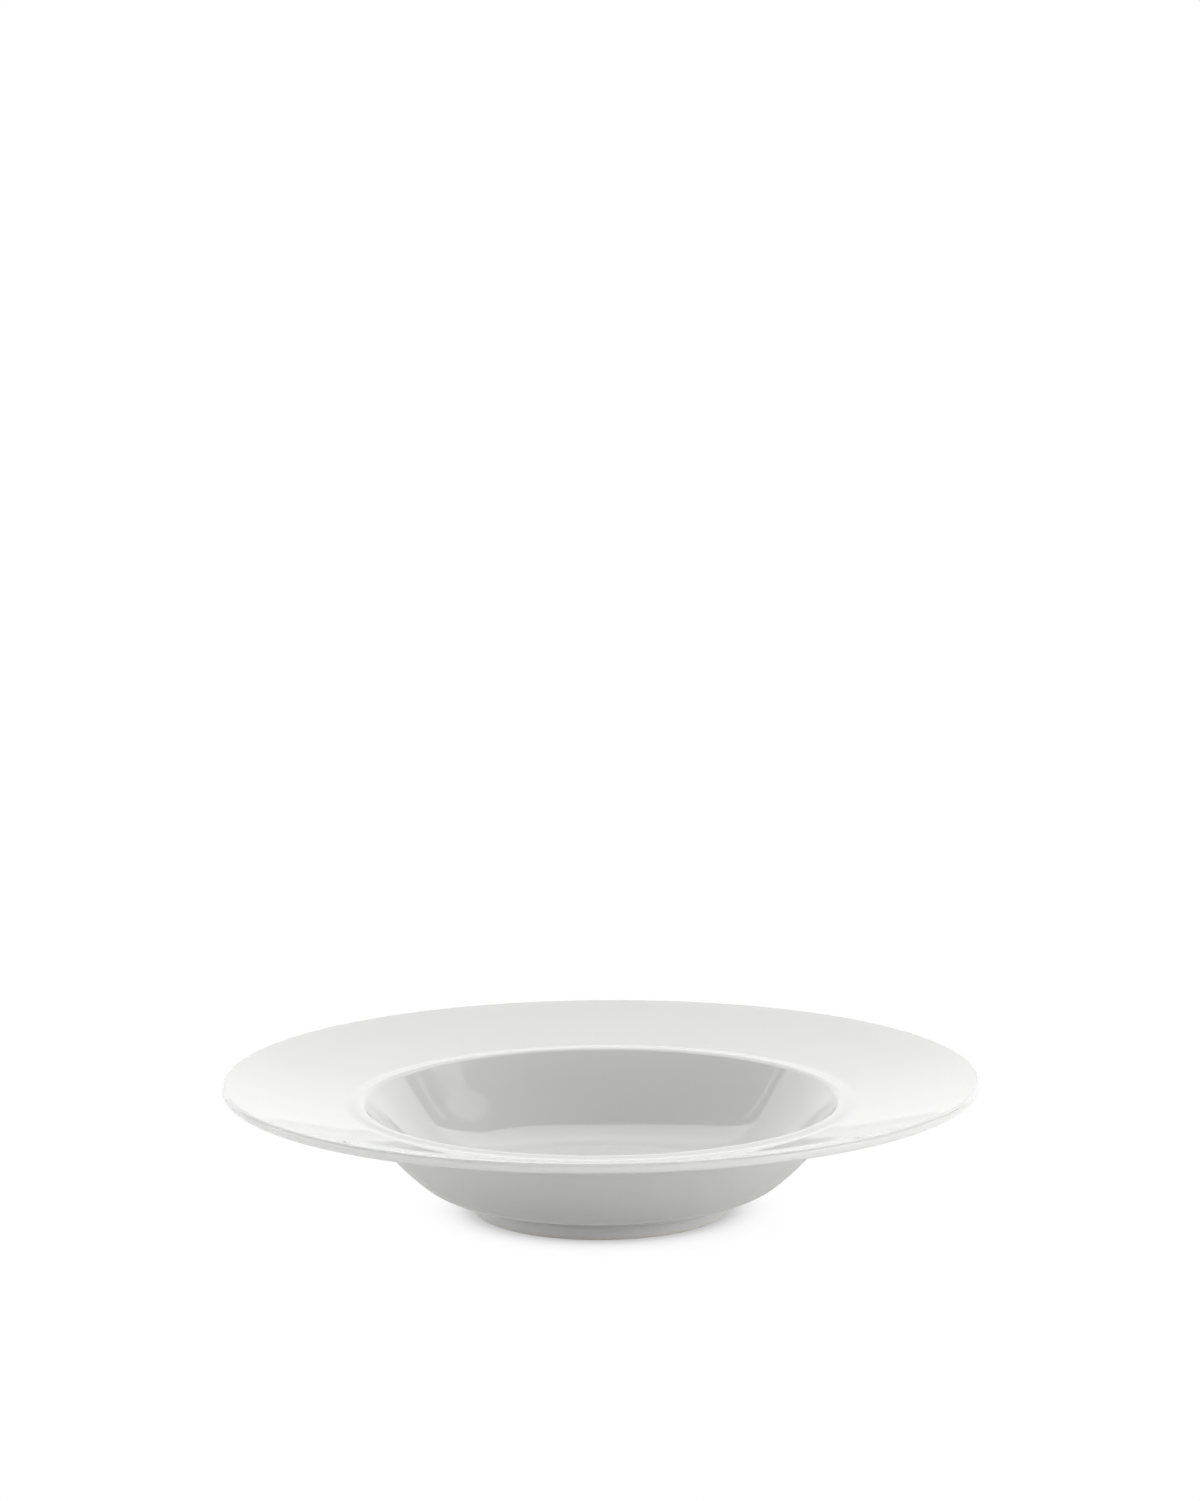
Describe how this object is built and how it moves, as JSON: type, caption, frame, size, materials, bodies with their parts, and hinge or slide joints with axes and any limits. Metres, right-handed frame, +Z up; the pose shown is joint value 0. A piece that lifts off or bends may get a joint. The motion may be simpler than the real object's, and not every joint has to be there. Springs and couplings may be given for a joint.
{
  "type": "pasta bowl",
  "caption": "Round white glazed porcelain pasta bowl with a wide sloping rim, a low bead round the lip, a deep curved well, a flat floor and a ground foot ring, for serving pasta, soup or salad.",
  "frame": {"origin": "centre of the foot ring, on the surface that the bowl stands on", "axes": "+Z up along the bowl's axis; the bowl is round, so X and Y are alike, and -Y faces the picture's camera"},
  "size_m": [0.28, 0.28, 0.0509],
  "materials": {
    "porcelain": "ground and unglazed, bare only on the foot ring",
    "glaze": "smooth white gloss"
  },
  "bodies": {
    "root": {"porcelain_body": "porcelain", "glaze_coat": "glaze", "base_glaze": "glaze"}
  },
  "joints": []
}
